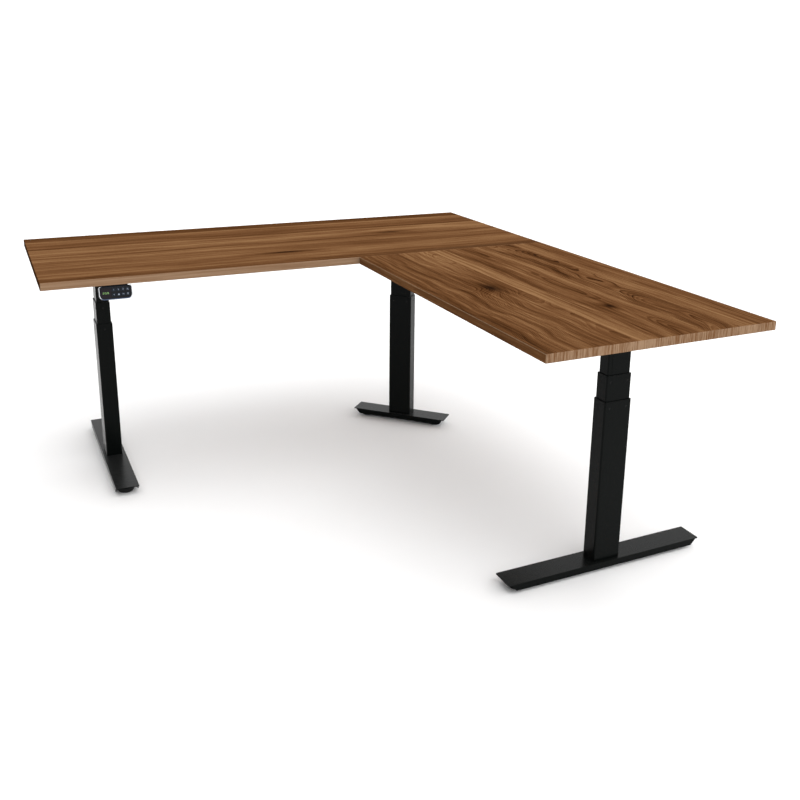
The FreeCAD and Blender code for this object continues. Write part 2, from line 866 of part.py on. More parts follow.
# ---- fasteners of the under-frame ----
def wood_screws():
    """Place and seat height of every screw that runs up into the tops."""
    found = []
    for line, length in beam_lines.values():
        for y, x in beam_screw_places(length - beam_extension_visible):
            found.append((*leg_point(line, x, y), web_bottom))
        for x, y in bracket_screw_places():
            found.append((*leg_point(line, x, y), underside - bracket_plate))
    for x, y in hub_screw_places():
        found.append((crossing_x + x, crossing_y + y, underside - hub_plate))
    for x, y in seam_plate_centres():
        for px, py in seam_plate_screws(x, y):
            found.append((px, py, underside - seam_plate_thickness))
    for x, y in control_screw_places():
        found.append((x, y, underside - bracket_plate))
    for x, y in keypad_screw_places():
        found.append((x, y, underside - flange_thickness))
    return found


def frame_bolts():
    found = []
    for leg in legs.values():
        found += head_bolts(leg)
    for line, length in beam_lines.values():
        beam_end = length - beam_extension_visible
        for side in (-1, 1):
            for parts in (lock_bolt(beam_end, side), end_bolt(side), hub_bolt(length, side)):
                found.append(place(bolt(*parts), line))
    return found


# ---- the whole desk, one entry for each node ----
nodes = {}
for name, leg in legs.items():
    length = foot_lengths[name]
    middle_radius = tube_corner_radius - 0.5
    pieces = {
        "foot": foot(length),
        "outer_tube": stage_tube(outer_wide, outer_narrow, foot_top, outer_top, tube_corner_radius),
        "outer_guide": top_guide(outer_wide, outer_narrow, outer_top, tube_corner_radius),
        "lift_post": lift_post(),
        "glide_a": glide(length, -1),
        "glide_b": glide(length, 1),
        "middle_tube": stage_tube(
            middle_wide, middle_narrow, middle_bottom, middle_top, middle_radius),
        "middle_guides": Part.makeCompound([
            top_guide(middle_wide, middle_narrow, middle_top, middle_radius),
            foot_guide(middle_wide, middle_narrow, middle_bottom, middle_radius),
        ]),
        "spindle_support": spindle_support(),
        "hollow_spindle": hollow_spindle(),
        "drive_spindle": drive_spindle(),
        "inner_tube": inner_tube(),
    }
    for piece, shape in pieces.items():
        nodes[f"{name}_{piece}"] = place(shape, leg)

inner_radius = tube_corner_radius - 1
lower_guide = foot_guide(inner_wide, inner_narrow, inner_bottom, inner_radius)
nodes["inner_guides"] = Part.makeCompound([place(lower_guide, leg) for leg in legs.values()])
nodes["gear_motors"] = Part.makeCompound([place(gear_motor(), leg) for leg in legs.values()])

extensions = []
leg_of_line = {"main": left_leg, "return": right_leg}
for name, (line, length) in beam_lines.items():
    beam_length = length - beam_extension_visible
    solid = place(beam(beam_length), line).cut(head_bolt_holes(leg_of_line[name]))
    nodes[f"{name}_beam"] = solid
    extensions.append(place(beam_extension(beam_length - beam_extension_overlap, length), line))
nodes["beam_extensions"] = Part.makeCompound(extensions)
nodes["corner_hub"] = corner_hub()
nodes["left_bracket"] = place(side_bracket(), main_line)
nodes["right_bracket"] = place(side_bracket(), return_line)
nodes["seam_plates"] = Part.makeCompound(seam_plates())
nodes["control_box"] = control_box()
nodes["control_box_lid"] = control_box_lid()

screws = wood_screws()
screw_holes = [screw_hole(x, y, underside - 1) for x, y, seat in screws]
nodes["main_top"] = top_slab(-right_edge, main_front, right_edge, back_edge).cut(screw_holes)
nodes["return_top"] = top_slab(return_left, -back_edge, right_edge, return_back).cut(screw_holes)
fasteners = [wood_screw(x, y, seat) for x, y, seat in screws] + frame_bolts()
nodes["frame_fasteners"] = Part.makeCompound(fasteners)

nodes["keypad_case"] = keypad_case()
nodes["keypad_face"] = keypad_face()
key_names = ["preset_1", "preset_2", "preset_3", "up", "preset_4", "lock", "memory", "down"]
for key_name, (x, y) in zip(key_names, key_places()):
    nodes[f"key_{key_name}"] = key(x, y)

os.makedirs("parts", exist_ok=True)
for name, shape in nodes.items():
    shape.exportStep(f"parts/{name}.step")

lowest = desk_height - 2 * rest_extension
highest = desk_height + 2 * stage_reach
print(f"{len(nodes)} nodes, {sum(len(shape.Solids) for shape in nodes.values())} solids")
print(f"top {total_length:.0f} x {total_depth:.0f}, height {desk_height:.1f} now, "
      f"{lowest:.1f} lowest, {highest:.1f} highest")
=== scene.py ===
# %% [markdown]
# # An L-shaped standing desk
#
# The desk has two walnut tops on a black steel frame, with three electric legs that telescope.
# The shapes that carry load or move come from the frame model, which is loaded first and never
# changed. This lesson gives those shapes their finishes and adds the small pieces that a
# builder would see up close: keys with icons, a lit readout, screws, threads and turned feet.

import math

import bmesh
import bpy
import numpy as np
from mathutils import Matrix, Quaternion, Vector


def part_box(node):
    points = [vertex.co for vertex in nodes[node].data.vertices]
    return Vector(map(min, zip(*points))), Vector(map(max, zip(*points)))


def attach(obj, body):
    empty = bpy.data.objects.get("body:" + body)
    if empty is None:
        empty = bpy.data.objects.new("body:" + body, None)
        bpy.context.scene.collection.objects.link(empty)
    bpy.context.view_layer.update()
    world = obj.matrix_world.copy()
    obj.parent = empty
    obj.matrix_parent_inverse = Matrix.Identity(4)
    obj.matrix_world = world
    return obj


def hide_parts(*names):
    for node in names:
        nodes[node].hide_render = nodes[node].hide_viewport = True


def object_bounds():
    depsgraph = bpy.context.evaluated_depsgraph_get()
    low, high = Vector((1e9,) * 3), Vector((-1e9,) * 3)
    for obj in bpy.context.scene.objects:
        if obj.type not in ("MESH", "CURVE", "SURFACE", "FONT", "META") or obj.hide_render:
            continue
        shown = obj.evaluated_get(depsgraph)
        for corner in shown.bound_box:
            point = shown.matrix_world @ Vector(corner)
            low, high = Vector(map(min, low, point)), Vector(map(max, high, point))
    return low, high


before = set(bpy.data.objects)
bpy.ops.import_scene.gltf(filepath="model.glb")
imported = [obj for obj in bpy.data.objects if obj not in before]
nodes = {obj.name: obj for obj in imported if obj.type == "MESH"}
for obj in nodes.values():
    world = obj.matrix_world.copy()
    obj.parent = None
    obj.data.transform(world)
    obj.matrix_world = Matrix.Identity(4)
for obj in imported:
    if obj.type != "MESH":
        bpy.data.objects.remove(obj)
cad_low, cad_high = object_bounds()
print("frame:", len(nodes), "nodes, size", [round(v, 3) for v in cad_high - cad_low])

# %% [markdown]
# ## Camera
#
# The camera stands in front of the desk's left end, a little above eye level for someone
# seated, and looks across both tops. Its place is measured from the front left corner of the
# main top, so it follows the desk if the desk is made larger. A slight roll and a small lens
# shift finish the framing.

# %% Camera
CAMERA_FROM_CORNER = Vector((-0.1586, -3.0446, 0.7029))
CAMERA_TURN = 0.4520
CAMERA_DIP = 0.2770
CAMERA_ROLL = 0.0160
LENS = 42.04
SHIFT_RIGHT, SHIFT_UP = -0.0274, -0.1009

main_low, main_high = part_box("main_top")
camera_data = bpy.data.cameras.new("camera")
camera_data.lens = LENS
camera_data.sensor_width = 36.0
camera_data.shift_x, camera_data.shift_y = SHIFT_RIGHT, SHIFT_UP
camera_data.clip_end = 60.0
camera = bpy.data.objects.new("camera", camera_data)
bpy.context.scene.collection.objects.link(camera)
bpy.context.scene.camera = camera
looking = Vector((
    math.sin(CAMERA_TURN) * math.cos(CAMERA_DIP),
    math.cos(CAMERA_TURN) * math.cos(CAMERA_DIP),
    -math.sin(CAMERA_DIP),
))
camera.location = Vector((main_low.x, main_low.y, main_high.z)) + CAMERA_FROM_CORNER
camera.rotation_mode = "QUATERNION"
camera.rotation_quaternion = looking.to_track_quat("-Z", "Y") @ Quaternion((0, 0, 1), CAMERA_ROLL)
print("camera at", [round(v, 3) for v in camera.location])

# %% [markdown]
# ## Light and floor
#
# The desk stands in a white studio. The sky is bright on every side but the left, so the edges
# that face left stay dark and the front edges stay light, which is what gives the tops their
# crisp outline. A broad sun from the front right adds a little direction and lights the floor
# evenly all the way out.

# %% Light and floor
SKY_BRIGHT, SKY_LEFT = 1.60, 0.10
SUN_STRENGTH = 1.0
SUN_WIDTH = math.radians(100)


def link_object(obj):
    bpy.context.scene.collection.objects.link(obj)
    return obj


def make_sky():
    """A world that lights less from -X, and that looks plain white to the camera on every side."""
    world = bpy.data.worlds.new("studio")
    bpy.context.scene.world = world
    world.use_nodes = True
    tree = world.node_tree
    background = tree.nodes["Background"]
    background.inputs["Color"].default_value = (1.0, 1.0, 1.0, 1.0)
    axes = tree.nodes.new("ShaderNodeSeparateXYZ")
    tree.links.new(tree.nodes.new("ShaderNodeTexCoord").outputs["Generated"], axes.inputs[0])
    sideways = tree.nodes.new("ShaderNodeMapRange")
    sideways.interpolation_type = "SMOOTHSTEP"
    sideways.inputs["From Min"].default_value = -0.8
    sideways.inputs["From Max"].default_value = -0.1
    sideways.inputs["To Min"].default_value = SKY_LEFT
    sideways.inputs["To Max"].default_value = SKY_BRIGHT
    tree.links.new(axes.outputs["X"], sideways.inputs["Value"])
    seen = tree.nodes.new("ShaderNodeMix")
    light_path = tree.nodes.new("ShaderNodeLightPath")
    tree.links.new(light_path.outputs["Is Camera Ray"], seen.inputs["Factor"])
    tree.links.new(sideways.outputs[0], seen.inputs["A"])
    seen.inputs["B"].default_value = SKY_BRIGHT
    tree.links.new(seen.outputs["Result"], background.inputs["Strength"])


make_sky()
sun_data = bpy.data.lights.new("sun", "SUN")
sun_data.energy = SUN_STRENGTH
sun_data.angle = SUN_WIDTH
sun = link_object(bpy.data.objects.new("sun", sun_data))
sun.rotation_mode = "QUATERNION"
sun.rotation_quaternion = Vector((-0.25, 0.75, -1.0)).to_track_quat("-Z", "Y")

FLOOR_SIZE = 40.0
floor_mesh = bpy.data.meshes.new("floor")
half = FLOOR_SIZE / 2
floor_mesh.from_pydata(
    [(x, y, cad_low.z) for x, y in ((-half, -half), (half, -half), (half, half), (-half, half))],
    [], [(0, 1, 2, 3)],
)
floor = link_object(bpy.data.objects.new("floor", floor_mesh))
bpy.context.scene.view_settings.view_transform = "Standard"

# %% [markdown]
# ## Helpers for node materials
#
# Every finish below is a node tree on the Principled shader. These few helpers add one node
# each and return its output, so that a tree reads like a sum. All patterns read Object
# coordinates: a piece's object sits at the origin, so the pattern is in real metres.

# %% Node helpers


def new_material(name, roughness=0.5, metallic=0.0, specular=0.5):
    """A material with one Principled shader; returns the material, its tree and the shader."""
    material = bpy.data.materials.new(name)
    material.use_nodes = True
    tree = material.node_tree
    tree.nodes.clear()
    shader = tree.nodes.new("ShaderNodeBsdfPrincipled")
    output = tree.nodes.new("ShaderNodeOutputMaterial")
    tree.links.new(shader.outputs["BSDF"], output.inputs["Surface"])
    shader.inputs["Roughness"].default_value = roughness
    shader.inputs["Metallic"].default_value = metallic
    shader.inputs["Specular IOR Level"].default_value = specular
    return material, tree, shader


def feed(tree, value, socket):
    """Links a socket to another, or sets its own value."""
    if isinstance(value, bpy.types.NodeSocket):
        tree.links.new(value, socket)
    else:
        socket.default_value = value


def calc(tree, operation, *values):
    node = tree.nodes.new("ShaderNodeMath")
    node.operation = operation
    for value, socket in zip(values, node.inputs):
        feed(tree, value, socket)
    return node.outputs[0]


def object_place(tree):
    return tree.nodes.new("ShaderNodeTexCoord").outputs["Object"]


def split(tree, vector):
    node = tree.nodes.new("ShaderNodeSeparateXYZ")
    tree.links.new(vector, node.inputs[0])
    return node.outputs["X"], node.outputs["Y"], node.outputs["Z"]


def join(tree, x, y, z):
    node = tree.nodes.new("ShaderNodeCombineXYZ")
    for value, socket in zip((x, y, z), node.inputs):
        feed(tree, value, socket)
    return node.outputs[0]


def noise(tree, place, stretch, detail=2.0, roughness=0.5):
    """Noise with its own number of cells per metre along each direction."""
    mapping = tree.nodes.new("ShaderNodeMapping")
    mapping.inputs["Scale"].default_value = stretch
    tree.links.new(place, mapping.inputs["Vector"])
    node = tree.nodes.new("ShaderNodeTexNoise")
    node.inputs["Scale"].default_value = 1.0
    node.inputs["Detail"].default_value = detail
    node.inputs["Roughness"].default_value = roughness
    tree.links.new(mapping.outputs[0], node.inputs["Vector"])
    return node.outputs["Fac"]


def ramp(tree, factor, stops, interpolation="LINEAR"):
    """Colours along a factor; stops are (position, colour) in rising order."""
    node = tree.nodes.new("ShaderNodeValToRGB")
    node.color_ramp.interpolation = interpolation
    elements = node.color_ramp.elements
    while len(elements) < len(stops):
        elements.new(0.5)
    for element, (position, colour) in zip(elements, stops):
        element.position = position
        element.color = (*colour, 1.0)
    feed(tree, factor, node.inputs["Fac"])
    return node.outputs["Color"]


def blend(tree, factor, first, second, way="MIX"):
    node = tree.nodes.new("ShaderNodeMix")
    node.data_type = "RGBA"
    node.blend_type = way
    feed(tree, factor, node.inputs["Factor"])
    for value, socket in ((first, node.inputs[6]), (second, node.inputs[7])):
        feed(tree, value if isinstance(value, bpy.types.NodeSocket) else (*value, 1.0), socket)
    return node.outputs[2]


def between(tree, value, low, high, to_low=0.0, to_high=1.0):
    """Carries a value from one range to another, smoothly, and holds it at the ends."""
    node = tree.nodes.new("ShaderNodeMapRange")
    node.interpolation_type = "SMOOTHSTEP"
    limits = {"From Min": low, "From Max": high, "To Min": to_low, "To Max": to_high}
    for name, limit in limits.items():
        node.inputs[name].default_value = limit
    feed(tree, value, node.inputs["Value"])
    return node.outputs[0]


def bump(tree, shader, height, distance, strength=1.0):
    node = tree.nodes.new("ShaderNodeBump")
    node.inputs["Distance"].default_value = distance
    node.inputs["Strength"].default_value = strength
    tree.links.new(height, node.inputs["Height"])
    tree.links.new(node.outputs[0], shader.inputs["Normal"])


def paint(material, *names):
    """Gives a material to CAD nodes, whose shapes stay as they are."""
    for name in names:
        slots = nodes[name].data.materials
        slots.clear()
        slots.append(material)


# %% [markdown]
# ## Walnut
#
# Each top is glued up from boards that run its whole length. Wood is not a picture on a
# surface: a board is cut from a trunk, so its figure is where the saw meets the year rings.
# The tree below does the same. Every board has its own pith line, some centimetres below or
# beside it, and the distance from that line, cut into rings, gives straight lines where the
# rings stand upright and long arches where they lie flat. Knots push the rings aside. Which
# board a point is in comes from a colour ramp with hard steps.
#
# A board is written as its width, how far its pith lies to the side and below, how much its
# pith wanders, how dark it is from 0 to 1, and how strongly its rings show from 0 to 1.

# %% Walnut
WALNUT_PALE = (0.243, 0.130, 0.058)
WALNUT_MID = (0.130, 0.057, 0.0225)
WALNUT_DARK = (0.050, 0.018, 0.0050)
# near black of knot hearts and the darkest grain, also painted as shade on the end faces
WALNUT_HEART_AND_SHADE = (0.014, 0.006, 0.003)
# pale saw-cut wood, also painted as light on the front edges and as a highlight on the long edges'
# upper corners
WALNUT_SAWN_AND_LIT = (0.285, 0.188, 0.118)

# width, pith to the side, pith below, wander, darkness, rings; from the front edge backwards
MAIN_BOARDS = (
    (0.048, 0.020, 0.090, 0.02, 0.74, 0.5),
    (0.128, 0.090, 0.050, 0.05, 0.40, 0.3),
    (0.120, 0.010, 0.024, 0.03, 0.58, 0.3),
    (0.095, -0.080, 0.060, 0.04, 0.46, 0.4),
    (0.125, 0.030, 0.020, 0.04, 0.40, 0.4),
    (0.105, 0.120, 0.080, 0.03, 0.64, 0.3),
    (0.060, 0.050, 0.060, 0.02, 0.40, 0.2),
    (0.081, -0.040, 0.050, 0.03, 0.88, 0.5),
)
# the same, from the left edge to the right
RETURN_BOARDS = (
    (0.150, 0.165, 0.016, 0.11, 0.60, 1.0),
    (0.130, 0.060, 0.030, 0.10, 0.42, 0.6),
    (0.058, -0.100, 0.060, 0.03, 0.20, 0.3),
    (0.170, 0.020, 0.020, 0.08, 0.50, 0.6),
    (0.120, 0.010, 0.014, 0.16, 0.66, 0.9),
    (0.060, 0.050, 0.040, 0.03, 0.26, 0.3),
    (0.074, -0.040, 0.050, 0.04, 0.50, 0.4),
)
# the largest values that a board table may hold, in metres
PITH_REACH, DEPTH_REACH, WANDER_REACH = 0.20, 0.10, 0.20
# a year's growth in metres, how much it grows from the first board to the last, and its ripple
RING_SPACING, RING_SPREAD, RIPPLE = 0.0048, 0.0022, 0.0032
# how far a knot pushes the rings, is black and darkens the wood, in its own sizes
PUSH_REACH, HEART_REACH, HALO_REACH = 2.4, 0.75, 1.8
# how much each pattern adds to the tone, from 0, pale, to 1, black
TONE_FLOOR, BOARD_WEIGHT, RING_WEIGHT, BAND_WEIGHT = 0.10, 0.52, 0.60, 1.45
STREAK_WEIGHT, FIBRE_WEIGHT, CLOUD_WEIGHT, HALO_WEIGHT = 0.95, 1.05, 0.60, 0.30
# place, size across X and Y, how far it pushes the rings, how black its middle is
MAIN_KNOTS = (
    ((-0.062, 0.408), (0.075, 0.013), 0.006, 1.0),
    ((0.449, 0.637), (0.050, 0.011), 0.005, 0.9),
    ((0.640, 0.252), (0.420, 0.026), 0.0, 0.45),
)
RETURN_KNOTS = (
    ((0.364, -0.351), (0.027, 0.060), 0.050, 1.0),
    ((0.577, -0.673), (0.013, 0.024), 0.020, 1.0),
)


def channels(tree, colour):
    node = tree.nodes.new("ShaderNodeSeparateColor")
    tree.links.new(colour, node.inputs[0])
    return node.outputs[0], node.outputs[1], node.outputs[2]


def add(tree, *values):
    total = values[0]
    for value in values[1:]:
        total = calc(tree, "ADD", total, value)
    return total


def times(tree, *values):
    total = values[0]
    for value in values[1:]:
        total = calc(tree, "MULTIPLY", total, value)
    return total


def length_of(tree, a, b):
    return calc(tree, "SQRT", add(tree, times(tree, a, a), times(tree, b, b)))


def centred(tree, value):
    """A noise value as something that swings to both sides of nothing."""
    return calc(tree, "SUBTRACT", value, 0.5)


def falloff(tree, distance, reach):
    """One at a knot's middle, near nothing past its reach."""
    scaled = calc(tree, "DIVIDE", distance, reach)
    return calc(tree, "EXPONENT", times(tree, scaled, scaled, -1.0))


def board_values(tree, share, boards, width):
    """The five values and the number of the board that a point is in, each as one output."""
    pith_stops, look_stops = [], []
    start = 0.0
    for number, (board, side, depth, wander, dark, rings) in enumerate(boards):
        middle = start + board / 2
        pith = (middle + side + PITH_REACH) / (width + 2 * PITH_REACH)
        pith_stops.append((start / width, (pith, depth / DEPTH_REACH, wander / WANDER_REACH)))
        look_stops.append((start / width, (dark, rings, number / len(boards))))
        start += board
    print("boards end at", round(start, 4), "of", round(width, 4))
    pith, depth, wander = channels(tree, ramp(tree, share, pith_stops, "CONSTANT"))
    dark, rings, number = channels(tree, ramp(tree, share, look_stops, "CONSTANT"))
    pith = calc(tree, "SUBTRACT", times(tree, pith, width + 2 * PITH_REACH), PITH_REACH)
    depth, wander = times(tree, depth, DEPTH_REACH), times(tree, wander, WANDER_REACH)
    return pith, depth, wander, dark, rings, number


def knot_field(tree, x, y, radius, knots):
    """Pushes the rings aside at each knot; returns the rings, the black hearts and their halos."""
    heart, halo = 0.0, 0.0
    for place, size, push, black in knots:
        dx = calc(tree, "DIVIDE", calc(tree, "SUBTRACT", x, place[0]), size[0])
        dy = calc(tree, "DIVIDE", calc(tree, "SUBTRACT", y, place[1]), size[1])
        distance = length_of(tree, dx, dy)
        radius = add(tree, radius, times(tree, falloff(tree, distance, PUSH_REACH), push))
        heart = calc(
            tree, "MAXIMUM", heart, times(tree, falloff(tree, distance, HEART_REACH), black))
        halo = calc(tree, "MAXIMUM", halo, times(tree, falloff(tree, distance, HALO_REACH), black))
    return radius, heart, halo


def year_rings(tree, radius, number):
    """Rings whose colour deepens through a year and drops back sharply, and broader bands.

    Some years are stronger than others, which a noise along the radius picks out.
    """
    spacing = add(tree, times(tree, number, RING_SPREAD), RING_SPACING)
    year = calc(tree, "FRACT", calc(tree, "DIVIDE", radius, spacing))
    ring = times(tree, calc(tree, "POWER", year, 2.2), between(tree, year, 0.90, 1.0, 1.0, 0.0))
    age = join(tree, radius, number, 0.0)
    strong_years = noise(tree, age, (95.0, 9.0, 1.0), 3.0, 0.6)
    bands = centred(tree, noise(tree, age, (38.0, 7.0, 1.0), 3.0, 0.6))
    return times(tree, ring, between(tree, strong_years, 0.35, 0.65, 0.35, 1.3)), bands


def facing(tree):
    """How far a face looks to the side, to the front or back, and up or down, from 0 to 1."""
    normal = tree.nodes.new("ShaderNodeNewGeometry").outputs["Normal"]
    return [between(tree, calc(tree, "ABSOLUTE", part), 0.4, 0.8) for part in split(tree, normal)]


def edges_grain_and_painted_light(tree, colour, here, dark, side, front, along_y, corner):
    """The edges of a top, over the colour of its faces, partly painted light and shade."""
    # The front edges are pale dry saw-cut wood, with the grain cut across as fine streaks,
    # and their paleness is partly painted light falling from the front.
    cut_fibres = (0.0, 260.0, 16.0) if along_y else (3.0, 0.0, 190.0)
    strength, paleness = (4.5, -0.05) if along_y else (1.8, -0.32)
    comb = centred(tree, noise(tree, here, cut_fibres, 4.0, 0.6))
    sawn_and_lit_tone = add(tree, times(tree, comb, strength), times(tree, dark, 0.8), paleness)
    sawn_and_lit = blend(tree, sawn_and_lit_tone, WALNUT_SAWN_AND_LIT, WALNUT_MID)
    colour = blend(tree, times(tree, front, 0.85), colour, sawn_and_lit)
    if along_y:
        # A painted highlight lies along the upper corner of the long edges.
        return blend(tree, times(tree, side, corner, 0.7), colour, WALNUT_SAWN_AND_LIT)
    # The end faces are painted nearly black: partly end grain that has soaked up oil, partly
    # painted shade.
    return blend(tree, times(tree, side, 0.75), colour, WALNUT_HEART_AND_SHADE)


def make_walnut(name, top, along_y, boards, knots, contrast):
    """Walnut for one top, whose boards run along X, or along Y."""
    low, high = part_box(top)
    material, tree, shader = new_material(name, specular=0.0)
    x, y, z = split(tree, object_place(tree))
    lengthwise, crosswise = (y, x) if along_y else (x, y)
    start, width = (low.x, high.x - low.x) if along_y else (low.y, high.y - low.y)
    across = calc(tree, "SUBTRACT", crosswise, start)
    share = calc(tree, "DIVIDE", across, width)
    pith, depth, wander, dark, ring_show, number = board_values(tree, share, boards, width)

    # Each board reads the noises at its own place, so that no two share a figure.
    here = join(tree, add(tree, lengthwise, times(tree, number, 9.0)), across, z)
    sway = centred(tree, noise(tree, here, (2.1, 0.0, 0.0), 2.0))
    dip = centred(tree, noise(tree, here, (1.7, 3.0, 0.0), 2.0))
    beside = add(tree, across, times(tree, pith, -1.0), times(tree, sway, wander, 2.0))
    below = add(tree, z, -low.z, depth, times(tree, dip, wander))
    ripple = centred(tree, noise(tree, here, (7.0, 30.0, 30.0), 2.0))
    radius = add(tree, length_of(tree, beside, below), times(tree, ripple, RIPPLE))
    radius, heart, halo = knot_field(tree, x, y, radius, knots)
    ring, bands = year_rings(tree, radius, number)

    # The edges carry no rings, only streaks and fibres.
    side, front, flat = facing(tree)
    ring = times(tree, ring, ring_show, flat)
    bands = times(tree, bands, flat)
    streaks = centred(tree, noise(tree, here, (2.2, 75.0, 75.0), 4.0, 0.6))
    fibres = noise(tree, here, (7.0, 460.0, 460.0), 3.0, 0.65)
    clouds = centred(tree, noise(tree, here, (1.3, 6.0, 6.0), 2.0))
    tone = add(
        tree, TONE_FLOOR, times(tree, dark, BOARD_WEIGHT),
        times(tree, ring, RING_WEIGHT * contrast), times(tree, bands, BAND_WEIGHT * contrast),
        times(tree, streaks, STREAK_WEIGHT * contrast),
        times(tree, centred(tree, fibres), FIBRE_WEIGHT), times(tree, clouds, CLOUD_WEIGHT),
        times(tree, halo, HALO_WEIGHT),
    )
    colour = ramp(tree, tone, [
        (0.04, WALNUT_PALE), (0.42, WALNUT_MID), (0.84, WALNUT_DARK), (1.0, WALNUT_HEART_AND_SHADE)])

    # Pores are short dark ticks along the grain.
    pore = between(tree, noise(tree, here, (60.0, 1300.0, 1300.0), 1.0), 0.60, 0.72)
    colour = blend(tree, times(tree, pore, 0.45), colour, WALNUT_DARK)
    colour = blend(tree, times(tree, heart, 0.95), colour, WALNUT_HEART_AND_SHADE)
    # the top few millimetres of the edges, where a painted highlight is laid on the long edges
    corner = between(tree, z, high.z - 0.0028, high.z - 0.0016)
    colour = edges_grain_and_painted_light(tree, colour, here, dark, side, front, along_y, corner)
    tree.links.new(colour, shader.inputs["Base Color"])

    satin = add(tree, times(tree, fibres, 0.18), times(tree, pore, 0.16), 0.42)
    tree.links.new(satin, shader.inputs["Roughness"])
    relief = add(tree, times(tree, fibres, 0.5), times(tree, pore, -1.0), times(tree, ring, -0.3))
    bump(tree, shader, relief, 0.00012, 0.8)
    return material


walnut_main = make_walnut("walnut_main", "main_top", False, MAIN_BOARDS, MAIN_KNOTS, 0.62)
walnut_return = make_walnut("walnut_return", "return_top", True, RETURN_BOARDS, RETURN_KNOTS, 0.95)
paint(walnut_main, "main_top")
paint(walnut_return, "return_top")

# %% [markdown]
# ## Powder coat
#
# The steel is sprayed with a fine black powder and baked. The coat has a faint orange-peel
# surface and a satin gloss. Two sizes of noise make the peel, and the gloss varies a little
# where the coat is thicker.

# %% Powder coat


def make_powder_coat(name, colour, roughness):
    material, tree, shader = new_material(name, specular=0.06)
    shader.inputs["Sheen Weight"].default_value = 0.18
    shader.inputs["Sheen Roughness"].default_value = 0.30
    place = object_place(tree)
    peel = noise(tree, place, (420.0,) * 3, 2.0)
    grit = noise(tree, place, (1500.0,) * 3, 1.0)
    cloud = noise(tree, place, (9.0,) * 3, 3.0)
    darker = tuple(0.72 * channel for channel in colour)
    tree.links.new(blend(tree, cloud, colour, darker), shader.inputs["Base Color"])
    gloss = add(tree, times(tree, cloud, 0.10), times(tree, grit, 0.08), roughness - 0.09)
    tree.links.new(gloss, shader.inputs["Roughness"])
    bump(tree, shader, add(tree, peel, times(tree, grit, 0.5)), 0.00006, 0.6)
    return material


powder_coat = make_powder_coat("powder_coat", (0.0016, 0.0024, 0.0021), 0.28)
steel_parts = ["main_beam", "return_beam", "beam_extensions", "corner_hub"]
steel_parts += ["left_bracket", "right_bracket"]
for leg in ("left", "corner", "right"):
    steel_parts += [f"{leg}_{part}" for part in ("foot", "outer_tube", "middle_tube", "inner_tube")]
paint(powder_coat, *steel_parts)
print("powder coat on", len(steel_parts), "parts")

# %% [markdown]
# ## Plastics, bare steel and motors
#
# Guides and glides are black nylon, the control box and the keypad are moulded plastic, the
# screw drives are turned steel and the small hardware is zinc plated. A moulded part could be
# one flat black, but real ones carry the texture of their mould, so each gets a fine noise in
# its gloss and surface and a slow one in its colour. Metals get scratches that are stretched
# along the way they were turned or brushed.

# %% Other finishes


def make_plastic(name, colour, roughness, grain=600.0, depth=0.00004):
    material, tree, shader = new_material(name, specular=0.09)
    place = object_place(tree)
    fine = noise(tree, place, (grain,) * 3, 2.0)
    cloud = noise(tree, place, (30.0,) * 3, 2.0)
    lighter = tuple(1.5 * channel + 0.002 for channel in colour)
    tree.links.new(blend(tree, cloud, colour, lighter), shader.inputs["Base Color"])
    gloss = add(tree, times(tree, fine, 0.16), roughness - 0.08)
    tree.links.new(gloss, shader.inputs["Roughness"])
    bump(tree, shader, fine, depth, 0.7)
    return material


def make_metal(name, colour, roughness, brushing):
    """Bare metal; brushing is the number of scratches per metre along each direction."""
    material, tree, shader = new_material(name, metallic=1.0)
    place = object_place(tree)
    scratch = noise(tree, place, brushing, 3.0, 0.6)
    cloud = noise(tree, place, (25.0,) * 3, 3.0)
    duller = tuple(0.7 * channel for channel in colour)
    tree.links.new(blend(tree, cloud, colour, duller), shader.inputs["Base Color"])
    gloss = add(tree, times(tree, scratch, 0.22), roughness - 0.11)
    tree.links.new(gloss, shader.inputs["Roughness"])
    bump(tree, shader, scratch, 0.00003, 0.5)
    return material


guide_plastic = make_plastic("guide_plastic", (0.006, 0.006, 0.006), 0.45)
glide_plastic = make_plastic("glide_plastic", (0.007, 0.007, 0.007), 0.55, 300.0, 0.00008)
box_plastic = make_plastic("box_plastic", (0.014, 0.014, 0.015), 0.6, 900.0, 0.00008)
case_plastic = make_plastic("case_plastic", (0.006, 0.007, 0.009), 0.38)
face_plastic = make_plastic("face_plastic", (0.003, 0.003, 0.004), 0.16, 90.0, 0.00001)
key_plastic = make_plastic("key_plastic", (0.005, 0.008, 0.013), 0.26, 700.0, 0.00002)
motor_paint = make_powder_coat("motor_paint", (0.020, 0.021, 0.023), 0.5)
turned_steel = make_metal("turned_steel", (0.52, 0.52, 0.53), 0.34, (60.0, 60.0, 900.0))
zinc_steel = make_metal("zinc_steel", (0.60, 0.60, 0.57), 0.38, (500.0, 500.0, 120.0))

for leg in ("left", "corner", "right"):
    paint(guide_plastic, f"{leg}_outer_guide", f"{leg}_middle_guides")
    paint(glide_plastic, f"{leg}_glide_a", f"{leg}_glide_b")
    paint(turned_steel, f"{leg}_lift_post", f"{leg}_spindle_support", f"{leg}_hollow_spindle",
          f"{leg}_drive_spindle")
paint(guide_plastic, "inner_guides")
paint(motor_paint, "gear_motors")
paint(zinc_steel, "seam_plates", "frame_fasteners")
paint(box_plastic, "control_box", "control_box_lid")
paint(case_plastic, "keypad_case")
paint(face_plastic, "keypad_face")
key_nodes = [name for name in nodes if name.startswith("key_")]
paint(key_plastic, *key_nodes)

